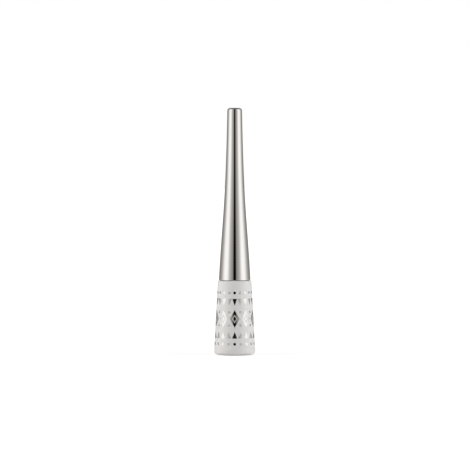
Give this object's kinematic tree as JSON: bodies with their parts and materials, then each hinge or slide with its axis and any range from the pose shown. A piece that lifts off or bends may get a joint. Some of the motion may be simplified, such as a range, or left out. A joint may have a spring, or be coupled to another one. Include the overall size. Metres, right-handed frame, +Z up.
{
  "type": "liquid eyeliner bottle",
  "caption": "Flared satin bottle with a long tapered bright metal screw cap that carries a stem and pointed brush dipping into the eyeliner inside.",
  "frame": {"origin": "centre of the base, on the plane that the bottle stands on", "axes": "+Z up along the bottle's axis from base to cap, +X to the right in the picture, +Y away from the viewer"},
  "size_m": [0.0174, 0.0174, 0.105],
  "materials": {
    "satin_white": "satin",
    "plug_white": "matte",
    "natural_plastic": "satin",
    "black_ink": "gloss",
    "wiper_plastic": "satin",
    "washer_foam": "matte",
    "bright_metal": "polished",
    "inner_cap_white": "satin",
    "gloss_black": "gloss",
    "brush_black": "matte"
  },
  "bodies": {
    "bottle": {"outer_sleeve": "satin_white", "base_plug": "plug_white", "ink_vial": "natural_plastic", "eyeliner_ink": "black_ink", "wiper": "wiper_plastic"},
    "washer": {"seal_washer": "washer_foam"},
    "applicator": {"cap_shell": "bright_metal", "inner_cap": "inner_cap_white", "wand_stem": "gloss_black", "brush_tip": "brush_black"}
  },
  "joints": [
    {"name": "cap_lift", "type": "slide", "parent": "bottle", "child": "washer", "axis": [0, 0, 1], "range_m": [0, 0.042]},
    {"name": "cap_twist", "type": "hinge", "parent": "washer", "child": "applicator", "pos_m": [0, 0, 0.0415], "axis": [0, 0, 1], "range_deg": [0, 450]}
  ]
}
